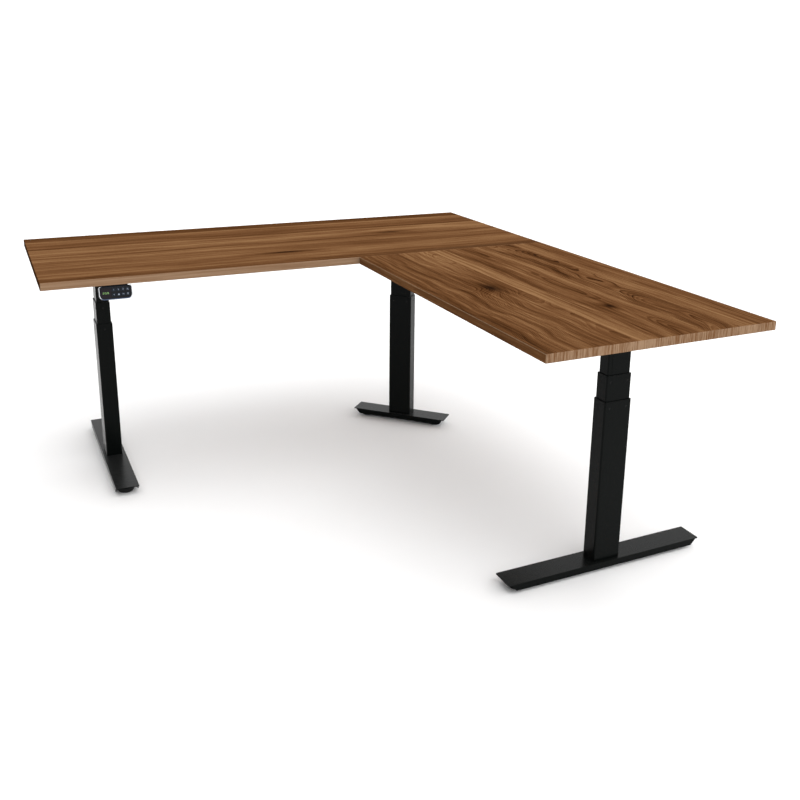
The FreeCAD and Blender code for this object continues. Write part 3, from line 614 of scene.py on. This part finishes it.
floor_paint, floor_tree, floor_shader = new_material("floor_paint", roughness=0.9, specular=0.1)
floor_tone = noise(floor_tree, object_place(floor_tree), (3.0, 3.0, 3.0), 3.0)
floor_colour = blend(floor_tree, floor_tone, (0.95, 0.95, 0.95), (0.92, 0.92, 0.92))
floor_tree.links.new(floor_colour, floor_shader.inputs["Base Color"])
floor.data.materials.append(floor_paint)

# %% [markdown]
# ## Pieces turned on a lathe
#
# Screws, bolts and glides are round pieces. Each is a stack of rings about its own axis, and a
# ring is a rule that gives a radius and a height for every angle. A plain number makes a
# circle, a rule for a cross makes the slot of a screw, and a rule that climbs with the angle
# makes a thread.

# %% Turned pieces


def turn_piece(mesh_name, rings, segments, place=(0.0, 0.0, 0.0)):
    """Joins rings of (radius, height) rules into one closed mesh."""
    shape = bmesh.new()
    loops = []
    for ring in rings:
        loop = []
        for step in range(segments):
            angle = 2 * math.pi * step / segments
            radius, height = ring(angle) if callable(ring) else ring
            spot = Vector((radius * math.cos(angle), radius * math.sin(angle), height))
            loop.append(shape.verts.new(Vector(place) + spot))
        loops.append(loop)
    for lower, upper in zip(loops, loops[1:]):
        for step in range(segments):
            after = (step + 1) % segments
            shape.faces.new((lower[step], lower[after], upper[after], upper[step]))
    shape.faces.new(list(reversed(loops[0])))
    shape.faces.new(loops[-1])
    bmesh.ops.recalc_face_normals(shape, faces=shape.faces)
    mesh = bpy.data.meshes.new(mesh_name)
    shape.to_mesh(mesh)
    shape.free()
    return mesh


def smooth_edges(mesh, degrees=35):
    """Shades a mesh smooth except where its faces meet at more than this angle."""
    mesh.shade_smooth()
    mesh.set_sharp_from_angle(angle=math.radians(degrees))


def thread_ring(core, depth, pitch, height):
    """A ring of a right-hand thread at this height."""
    def rule(angle):
        phase = (height / pitch - angle / (2 * math.pi)) % 1.0
        return core - depth * abs(2 * phase - 1), height
    return rule


def thread(core, depth, pitch, start, end, rings_per_turn=4):
    count = max(int((end - start) / pitch * rings_per_turn), 2)
    heights = [start + (end - start) * i / count for i in range(count + 1)]
    return [thread_ring(core, depth, pitch, height) for height in heights]


# %% [markdown]
# ## Screws and bolts under the frame
#
# Every screw and bolt of the frame model is a plain solid. Its place, direction and sizes are
# read from that solid, and a proper one is put there: wood screws with a domed head, a cross
# slot and a coarse thread, and machine bolts with a hexagon socket. Geometry Nodes puts one
# master on every place and spins each by its own random amount, as a hand would leave them.

# %% Read the plain fasteners


def separate_solids(mesh):
    """The corner points of each solid in a mesh."""
    shape = bmesh.new()
    shape.from_mesh(mesh)
    bmesh.ops.remove_doubles(shape, verts=shape.verts, dist=1e-6)
    seen, solids = set(), []
    for first in shape.verts:
        if first in seen:
            continue
        seen.add(first)
        waiting, points = [first], []
        while waiting:
            vert = waiting.pop()
            points.append(tuple(vert.co))
            for edge in vert.link_edges:
                other = edge.other_vert(vert)
                if other not in seen:
                    seen.add(other)
                    waiting.append(other)
        solids.append(np.array(points))
    shape.free()
    return solids


def measure_fastener(points):
    """Head seat, direction from head to tip, and sizes of one headed pin."""
    middle = points.mean(axis=0)
    spread, ways = np.linalg.eigh(np.cov((points - middle).T))
    odd = 2 if spread[2] - spread[1] > spread[1] - spread[0] else 0
    way = ways[:, odd]
    along = (points - middle) @ way
    radius = np.linalg.norm(points - middle - np.outer(along, way), axis=1)
    head = radius.max()
    if along[radius > 0.99 * head].mean() > (along.min() + along.max()) / 2:
        way, along = -way, -along
    seat = along[radius > 0.99 * head].max()
    sizes = (head, seat - along.min(), radius[along > along.max() - 1e-5].max(), along.max() - seat)
    return middle + way * seat, way, tuple(round(float(size), 4) for size in sizes)


fasteners = {}
for solid in separate_solids(nodes["frame_fasteners"].data):
    seat, way, sizes = measure_fastener(solid)
    fasteners.setdefault(sizes, []).append((seat, way))
for sizes, places in fasteners.items():
    print(len(places), "fasteners with head radius, head height, shank radius, length", sizes)

# %% [markdown]
# ## One master for each kind of fastener
#
# A screw head could be a sphere with a cut in it. Stacked rings are simpler, because the cross
# slot and the hexagon socket are only rings with another outline.

# %% Masters for the screws and bolts
HEAD_SEGMENTS = 24
LARGEST_SCREW_SHANK = 0.0027


def cross_rule(arm, half_width, height):
    """Outline of a cross slot as a radius for every angle."""
    def rule(angle):
        turned = angle % (math.pi / 2)
        turned = min(turned, math.pi / 2 - turned)
        on_arm_end = math.tan(turned) < half_width / arm
        return arm / math.cos(turned) if on_arm_end else half_width / math.sin(turned), height
    return rule


def hexagon_rule(flats, height):
    def rule(angle):
        turned = (angle + math.pi / 6) % (math.pi / 3) - math.pi / 6
        return flats / 2 / math.cos(turned), height
    return rule


def wood_screw_rings(head, head_height, shank, length):
    return [
        cross_rule(0.36 * head, 0.10 * head, -0.45 * head_height),
        cross_rule(0.52 * head, 0.14 * head, -0.97 * head_height),
        (0.60 * head, -head_height), (0.82 * head, -0.88 * head_height),
        (0.95 * head, -0.60 * head_height), (head, -0.25 * head_height), (head, 0.0), (shank, 0.0),
        *thread(shank, 0.28 * shank, 0.0018, 0.001, 0.75 * length), (0.5 * shank, 0.9 * length),
        (0.05 * shank, length),
    ]


def bolt_rings(head, head_height, shank, length):
    socket = 0.96 * head
    return [
        hexagon_rule(socket, -0.40 * head_height), hexagon_rule(socket, -head_height),
        (0.86 * head, -head_height), (head, -0.88 * head_height), (head, 0.0), (shank, 0.0),
        *thread(shank, 0.14 * shank, 0.001, 0.001, length - 0.0008), (0.8 * shank, length),
    ]


def make_master(number, sizes):
    shank_radius = sizes[2]
    make_rings = bolt_rings if shank_radius > LARGEST_SCREW_SHANK else wood_screw_rings
    mesh = turn_piece(f"fastener_{number}", make_rings(*sizes), HEAD_SEGMENTS)
    smooth_edges(mesh)
    return bpy.data.objects.new(f"fastener_{number}", mesh)


# %% [markdown]
# ## Putting the fasteners in place
#
# Copying a screw by hand to every hole is slow, and a change means doing it again. The tree
# below takes the holes as points that know their direction, and stamps a master on each.

# %% Geometry Nodes that put the fasteners in place


def fastener_nodes():
    """Instances a master on each point, along the point's own direction, with a random spin."""
    group = bpy.data.node_groups.new("place_fasteners", "GeometryNodeTree")
    for name, kind in (("Places", "NodeSocketGeometry"), ("Master", "NodeSocketObject"),
                       ("Finish", "NodeSocketMaterial"), ("Spin seed", "NodeSocketInt")):
        group.interface.new_socket(name, in_out="INPUT", socket_type=kind)
    group.interface.new_socket("Fasteners", in_out="OUTPUT", socket_type="NodeSocketGeometry")
    make, link = group.nodes.new, group.links.new
    entry, leave = make("NodeGroupInput"), make("NodeGroupOutput")
    way = make("GeometryNodeInputNamedAttribute")
    way.data_type = "FLOAT_VECTOR"
    way.inputs["Name"].default_value = "way"
    align = make("FunctionNodeAlignRotationToVector")
    align.axis = "Z"
    link(way.outputs[0], align.inputs["Vector"])
    spin = make("FunctionNodeRandomValue")
    spin.data_type = "FLOAT"
    spin.inputs[2].default_value = 0.0
    spin.inputs[3].default_value = 2 * math.pi
    link(entry.outputs["Spin seed"], spin.inputs["Seed"])
    about = make("FunctionNodeAxisAngleToRotation")
    about.inputs["Axis"].default_value = (0.0, 0.0, 1.0)
    link(spin.outputs[1], about.inputs["Angle"])
    turn = make("FunctionNodeRotateRotation")
    turn.rotation_space = "LOCAL"
    link(align.outputs[0], turn.inputs["Rotation"])
    link(about.outputs[0], turn.inputs["Rotate By"])
    master = make("GeometryNodeObjectInfo")
    link(entry.outputs["Master"], master.inputs["Object"])
    stamp = make("GeometryNodeInstanceOnPoints")
    link(entry.outputs["Places"], stamp.inputs["Points"])
    link(master.outputs["Geometry"], stamp.inputs["Instance"])
    link(turn.outputs[0], stamp.inputs["Rotation"])
    realize, finish = make("GeometryNodeRealizeInstances"), make("GeometryNodeSetMaterial")
    link(stamp.outputs[0], realize.inputs[0])
    link(realize.outputs[0], finish.inputs["Geometry"])
    link(entry.outputs["Finish"], finish.inputs["Material"])
    link(finish.outputs[0], leave.inputs[0])
    return group


def place_fasteners(group, master, places, seed):
    """Runs the node group on the places and returns the finished mesh."""
    points = bpy.data.meshes.new("places")
    points.from_pydata([tuple(seat) for seat, _ in places], [], [])
    way = points.attributes.new("way", "FLOAT_VECTOR", "POINT")
    way.data.foreach_set("vector", np.array([w for _, w in places], np.float32).ravel())
    carrier = link_object(bpy.data.objects.new("places", points))
    modifier = carrier.modifiers.new("place", "NODES")
    modifier.node_group = group
    settings = {"Master": master, "Finish": zinc_steel, "Spin seed": seed}
    for socket in group.interface.items_tree:
        if socket.in_out == "INPUT" and socket.name in settings:
            modifier[socket.identifier] = settings[socket.name]
    evaluated = carrier.evaluated_get(bpy.context.evaluated_depsgraph_get())
    mesh = bpy.data.meshes.new_from_object(evaluated)
    bpy.data.objects.remove(carrier)
    return mesh


def merge_meshes(name, meshes, material):
    shape = bmesh.new()
    for mesh in meshes:
        shape.from_mesh(mesh)
    merged = bpy.data.meshes.new(name)
    shape.to_mesh(merged)
    shape.free()
    merged.materials.clear()
    merged.materials.append(material)
    return link_object(bpy.data.objects.new(name, merged))


group = fastener_nodes()
placed = []
for number, (sizes, places) in enumerate(fasteners.items()):
    master = link_object(make_master(number, sizes))
    placed.append(place_fasteners(group, master, places, seed=number + 1))
    bpy.data.objects.remove(master)
screws = merge_meshes("screws_and_bolts", placed, zinc_steel)
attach(screws, "desktop")
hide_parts("frame_fasteners")
print("screws and bolts:", len(screws.data.polygons), "faces")

# %% [markdown]
# ## Levelling glides
#
# A glide is a hollow cup of black nylon, moulded round the head of a steel stud. The cup bulges
# below the end of the foot and narrows to the floor. The stud is threaded, so that turning the
# cup lifts or lowers that end of the foot.

# %% Glides
GLIDE_RIM, GLIDE_FLOOR_FACE = 0.0280, 0.0215
GLIDE_CUP_HEIGHT, GLIDE_CUP_WALL = 0.0165, 0.0025
GLIDE_HUB, GLIDE_HUB_HEIGHT, GLIDE_STUD = 0.0085, 0.0105, 0.005
GLIDE_SEGMENTS = 56


def glide_rings(top):
    swell = GLIDE_RIM - GLIDE_FLOOR_FACE
    bulge = [(GLIDE_FLOOR_FACE + swell * math.sin(a), GLIDE_CUP_HEIGHT * (1 - math.cos(a)))
             for a in np.linspace(0.0, math.pi / 2, 9)]
    hollow = [(radius - GLIDE_CUP_WALL, max(height, GLIDE_CUP_WALL))
              for radius, height in reversed(bulge)]
    floor_grips = [(GLIDE_FLOOR_FACE * share, lift) for share, lift in (
        (0.05, 0.0006), (0.55, 0.0006), (0.60, 0.0), (0.78, 0.0),
        (0.80, 0.0006), (0.86, 0.0006), (0.88, 0.0))]
    return [
        *floor_grips, *bulge, *hollow, (GLIDE_HUB, GLIDE_CUP_WALL), (GLIDE_HUB, GLIDE_HUB_HEIGHT),
        (GLIDE_STUD, GLIDE_HUB_HEIGHT),
        *thread(GLIDE_STUD, 0.0006, 0.0015, GLIDE_HUB_HEIGHT + 0.0004, top - 0.001),
        (0.8 * GLIDE_STUD, top),
    ]


for leg in ("left", "corner", "right"):
    for end in ("a", "b"):
        node = f"{leg}_glide_{end}"
        low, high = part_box(node)
        centre = ((low.x + high.x) / 2, (low.y + high.y) / 2, low.z)
        mesh = turn_piece(f"{node}_cup", glide_rings(high.z - low.z), GLIDE_SEGMENTS, centre)
        smooth_edges(mesh)
        mesh.materials.append(glide_plastic)
        cup = link_object(bpy.data.objects.new(f"{node}_cup", mesh))
        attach(cup, node)
        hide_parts(node)
print("glides with threaded studs:", sum("glide" in name for name in nodes))

# %% [markdown]
# ## Keypad
#
# The keypad hangs under the front edge with its face tipped up. A bright trim runs round the
# rim of its case. The left part of the face is a smoked window with a green readout of the
# height in inches, and each key carries a pale printed sign: four stored heights, up, down,
# lock and memory.

# %% Keypad plane
SIGN_THICKNESS = 0.00012


def face_frame(node):
    """The directions out of a node's largest flat face, to the right along it and up along it."""
    mesh = nodes[node].data
    largest = max(mesh.polygons, key=lambda polygon: polygon.area)
    out = largest.normal.normalized()
    if out.y > 0:
        out = -out
    right = Vector((0.0, 0.0, 1.0)).cross(out).normalized() * -1.0
    right = right if right.x > 0 else -right
    up = out.cross(right).normalized()
    up = up if up.z > 0 else -up
    return out, right, up


pad_out, pad_right, pad_up = face_frame("keypad_face")


def pad_point(u, v, rise):
    return pad_right * u + pad_up * v + pad_out * rise


def pad_extent(node):
    """Lowest and highest place of a node along right, up and out of the keypad's face."""
    points = np.array([vert.co for vert in nodes[node].data.vertices])
    ways = np.array([pad_right, pad_up, pad_out]).T
    places = points @ ways
    return places.min(axis=0), places.max(axis=0)


def flat_sign(name, outline_groups, rise, material, thickness=SIGN_THICKNESS):
    """Thin raised shapes on the keypad's plane; an outline is a list of (u, v) points."""
    shape = bmesh.new()
    for outline in outline_groups:
        lower = [shape.verts.new(pad_point(u, v, rise)) for u, v in outline]
        upper = [shape.verts.new(pad_point(u, v, rise + thickness)) for u, v in outline]
        shape.faces.new(list(reversed(lower)))
        shape.faces.new(upper)
        for i in range(len(outline)):
            j = (i + 1) % len(outline)
            shape.faces.new((lower[i], lower[j], upper[j], upper[i]))
    bmesh.ops.recalc_face_normals(shape, faces=shape.faces)
    mesh = bpy.data.meshes.new(name)
    shape.to_mesh(mesh)
    shape.free()
    mesh.materials.append(material)
    return link_object(bpy.data.objects.new(name, mesh))


def rounded_outline(low, high, radii, inset=0.0, steps=8):
    """Rounded rectangle from low to high; radii start at the lower left and go anticlockwise."""
    corners = ((low[0], low[1], 180), (high[0], low[1], 270),
               (high[0], high[1], 0), (low[0], high[1], 90))
    points = []
    for (x, y, start), radius in zip(corners, radii):
        sx = 1 if x == low[0] else -1
        sy = 1 if y == low[1] else -1
        cx, cy = x + sx * radius, y + sy * radius
        reach = max(radius - inset, 0.0002)
        for step in range(steps + 1):
            angle = math.radians(start + 90 * step / steps)
            points.append((cx + reach * math.cos(angle), cy + reach * math.sin(angle)))
    return points


# %% [markdown]
# ## Keypad trim
#
# The rim of the case carries a thin satin band. It could be cut as a groove in the case, but
# the case belongs to the frame model, so the band is a strip with a rounded section that is
# swept along the rim. By position, it is dark blue along its lower run, with a painted
# highlight at both ends and painted shade, black, along its top run under the desktop.

# %% Keypad trim
TRIM_WIDTH, TRIM_RISE, TRIM_STEPS = 0.0023, 0.0005, 8
LOWER_RADIUS, UPPER_RADIUS = 0.016, 0.006
# colours of the trim: a painted highlight, its own blue-black, and painted shade
TRIM_PAINTED_HIGHLIGHT = (0.50, 0.51, 0.53)
TRIM_DARK = (0.065, 0.085, 0.140)
TRIM_PAINTED_SHADE = (0.004, 0.005, 0.008)


def make_trim_metal(low, high):
    """Satin metal, blue-black along the foot, with a painted highlight at the two ends and painted
    shade along the top.
    """
    material, tree, shader = new_material("trim_metal", metallic=1.0)
    place = object_place(tree)
    x, _, z = split(tree, place)
    scratch = noise(tree, place, (40.0, 400.0, 400.0), 3.0, 0.6)
    half_width = (high.x - low.x) / 2
    from_middle = calc(tree, "ABSOLUTE", calc(tree, "SUBTRACT", x, low.x + half_width))
    # painted highlight: both ends of the trim are made bright
    painted_end_highlight = between(tree, from_middle, half_width - 0.009, half_width - 0.003)
    # painted shade: the run along the top, under the desktop, is made black
    upper = between(tree, z, high.z - 0.010, high.z - 0.004)
    run_with_painted_shade = blend(tree, upper, TRIM_DARK, TRIM_PAINTED_SHADE)
    tree.links.new(blend(tree, painted_end_highlight, run_with_painted_shade, TRIM_PAINTED_HIGHLIGHT), shader.inputs["Base Color"])
    tree.links.new(add(tree, times(tree, scratch, 0.2), 0.2), shader.inputs["Roughness"])
    bump(tree, shader, scratch, 0.00002, 0.5)
    return material


case_points = np.array([vert.co for vert in nodes["keypad_case"].data.vertices])
case_ways = case_points @ np.array([pad_right, pad_up, pad_out]).T
front_rise = case_ways[:, 2].max()
rim = case_ways[case_ways[:, 2] > front_rise - 1e-5]
rim_low, rim_high = rim[:, :2].min(axis=0), rim[:, :2].max(axis=0)
print("keypad face plate", [round(float(v), 4) for v in rim_high - rim_low])


def make_trim():
    """A low rounded band that follows the rim of the case."""
    trim_metal = make_trim_metal(*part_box("keypad_case"))
    radii = (LOWER_RADIUS, LOWER_RADIUS, UPPER_RADIUS, UPPER_RADIUS)
    shape = bmesh.new()
    loops = []
    for step in range(TRIM_STEPS + 1):
        around = math.pi * step / TRIM_STEPS
        inset = 0.0003 + TRIM_WIDTH * (1 - math.cos(around)) / 2
        rise = front_rise + TRIM_RISE * math.sin(around)
        outline = rounded_outline(rim_low, rim_high, radii, inset)
        loops.append([shape.verts.new(pad_point(u, v, rise)) for u, v in outline])
    count = len(loops[0])
    for first, second in zip(loops, loops[1:] + loops[:1]):
        for i in range(count):
            j = (i + 1) % count
            shape.faces.new((first[i], first[j], second[j], second[i]))
    bmesh.ops.recalc_face_normals(shape, faces=shape.faces)
    mesh = bpy.data.meshes.new("keypad_trim")
    shape.to_mesh(mesh)
    shape.free()
    smooth_edges(mesh, 60)
    mesh.materials.append(trim_metal)
    return link_object(bpy.data.objects.new("keypad_trim", mesh))


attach(make_trim(), "desktop")

# %% [markdown]
# ## Window and readout
#
# The readout shines through a smoked window. Its digits are the usual seven bars, of which
# each digit lights some, and a small table gives the lit bars of the digits that this height
# uses. The bars glow weakly, which keeps their green when the studio light falls on them.

# %% Keypad window and readout
window_smoke = make_plastic("window_smoke", (0.006, 0.004, 0.006), 0.12, 60.0, 0.00001)
READOUT = "30.9"
READOUT_BACK = 0.0085
DIGIT_HEIGHT, DIGIT_WIDTH, DIGIT_PITCH = 0.0052, 0.0040, 0.0072
BAR, DOT_HALF, GLASS_THICKNESS = 0.0007, 0.0006, 0.00015
SEGMENTS_LIT = {"3": "abcdg", "0": "abcdef", "9": "abcdfg"}

light_green, green_tree, green_shader = new_material("readout_green", roughness=0.4)
green_tone = noise(green_tree, object_place(green_tree), (900.0,) * 3, 1.0)
green = blend(green_tree, green_tone, (0.24, 0.46, 0.14), (0.17, 0.36, 0.10))
green_tree.links.new(green, green_shader.inputs["Base Color"])
green_shader.inputs["Emission Color"].default_value = (0.30, 0.62, 0.16, 1.0)
green_shader.inputs["Emission Strength"].default_value = 0.35

face_low, face_high = pad_extent("keypad_face")
glass_rise = float(face_high[2])
key_left = min(float(pad_extent(name)[0][0]) for name in key_nodes)
window_low = (float(face_low[0]) + 0.0012, float(face_low[1]) + 0.0015)
window_high = (key_left - 0.0020, float(face_high[1]) - 0.0015)
window = flat_sign(
    "display_window", [rounded_outline(window_low, window_high, (0.010, 0.001, 0.001, 0.002))],
    glass_rise, window_smoke, GLASS_THICKNESS)
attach(window, "desktop")


def bar(x, y, length, upright):
    """One bar of a digit, with pointed ends."""
    half_long, half_wide = length / 2, BAR / 2
    shoulder = half_long - half_wide
    points = [(-half_long, 0.0), (-shoulder, -half_wide), (shoulder, -half_wide),
              (half_long, 0.0), (shoulder, half_wide), (-shoulder, half_wide)]
    return [(x + (v if upright else u), y + (u if upright else v)) for u, v in points]


def digit_bars(digit, x, y):
    across, tall = DIGIT_WIDTH - BAR * 0.6, DIGIT_HEIGHT / 2 - BAR * 0.6
    half_wide, half_tall = DIGIT_WIDTH / 2, DIGIT_HEIGHT / 2
    spots = {
        "a": (0.0, half_tall, across, False), "g": (0.0, 0.0, across, False),
        "d": (0.0, -half_tall, across, False),
        "b": (half_wide, half_tall / 2, tall, True), "c": (half_wide, -half_tall / 2, tall, True),
        "e": (-half_wide, -half_tall / 2, tall, True), "f": (-half_wide, half_tall / 2, tall, True),
    }
    return [bar(x + sx, y + sy, length, upright) for sx, sy, length, upright in
            (spots[letter] for letter in SEGMENTS_LIT[digit])]


readout_x = (window_low[0] + window_high[0]) / 2 - READOUT_BACK
readout_y = (window_low[1] + window_high[1]) / 2
lit = []
for letter in READOUT:
    if letter == ".":
        x, y = readout_x - DIGIT_PITCH / 2, readout_y - DIGIT_HEIGHT / 2 + DOT_HALF
        lit.append(rounded_outline(
            (x - DOT_HALF, y - DOT_HALF), (x + DOT_HALF, y + DOT_HALF), (0.0005,) * 4, steps=3))
    else:
        lit += digit_bars(letter, readout_x, readout_y)
        readout_x += DIGIT_PITCH
readout = flat_sign("height_readout", lit, glass_rise + GLASS_THICKNESS, light_green)
print("readout", READOUT, "in", len(lit), "lit shapes")
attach(readout, "desktop")

# %% [markdown]
# ## Signs on the keys
#
# Each key is printed with pale ink: a number for a stored height, M for memory, a padlock for
# the child lock, and arrows. Ink has hardly any thickness, so each sign is a shape a tenth of a
# millimetre thick that lies on its key and rides with it when the key is pressed.

# %% Signs on the keys
ink, ink_tree, ink_shader = new_material("sign_ink", roughness=0.55)
ink_tone = noise(ink_tree, object_place(ink_tree), (2500.0,) * 3, 2.0)
ink_colour = blend(ink_tree, ink_tone, (0.30, 0.34, 0.41), (0.21, 0.24, 0.30))
ink_tree.links.new(ink_colour, ink_shader.inputs["Base Color"])
bump(ink_tree, ink_shader, ink_tone, 0.00001)


def chevrons(way):
    """Two arrow heads, one above the other; way is 1 for up and -1 for down."""
    arrow = ((-0.0024, -0.0010), (0.0, 0.0012), (0.0024, -0.0010),
             (0.0024, -0.0020), (0.0, 0.0002), (-0.0024, -0.0020))
    return [[(u, (v + rise) * way) for u, v in arrow] for rise in (-0.0014, 0.0012)]


def padlock():
    body = rounded_outline((-0.0022, -0.0026), (0.0022, 0.0006), (0.0004,) * 4, steps=3)
    turn = np.linspace(0.0, math.pi, 13)
    shackle = [(0.0015 * math.cos(a), 0.0006 + 0.0019 * math.sin(a)) for a in turn]
    shackle += [(0.0009 * math.cos(a), 0.0006 + 0.0013 * math.sin(a)) for a in reversed(turn)]
    return [body, shackle]


def letter_outlines(text, size=0.0062):
    """Outlines of a character, as triangles of the built-in typeface."""
    curve = bpy.data.curves.new("letter", "FONT")
    curve.body, curve.size = text, size
    curve.align_x, curve.align_y = "CENTER", "CENTER"
    carrier = link_object(bpy.data.objects.new("letter", curve))
    evaluated = carrier.evaluated_get(bpy.context.evaluated_depsgraph_get())
    mesh = bpy.data.meshes.new_from_object(evaluated)
    corners = [[mesh.vertices[i].co.xy.to_tuple() for i in face.vertices] for face in mesh.polygons]
    bpy.data.objects.remove(carrier)
    return corners


SIGNS = {
    "key_preset_1": letter_outlines("1"), "key_preset_2": letter_outlines("2"),
    "key_preset_3": letter_outlines("3"), "key_preset_4": letter_outlines("4"),
    "key_memory": letter_outlines("M"), "key_lock": padlock(),
    "key_up": chevrons(1), "key_down": chevrons(-1),
}
for node, outlines in SIGNS.items():
    low, high = pad_extent(node)
    u, v = (low[0] + high[0]) / 2, (low[1] + high[1]) / 2
    moved = [[(u + x, v + y) for x, y in outline] for outline in outlines]
    sign = flat_sign(f"{node}_sign", moved, float(high[2]), ink)
    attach(sign, node)
print("signs:", len(SIGNS))
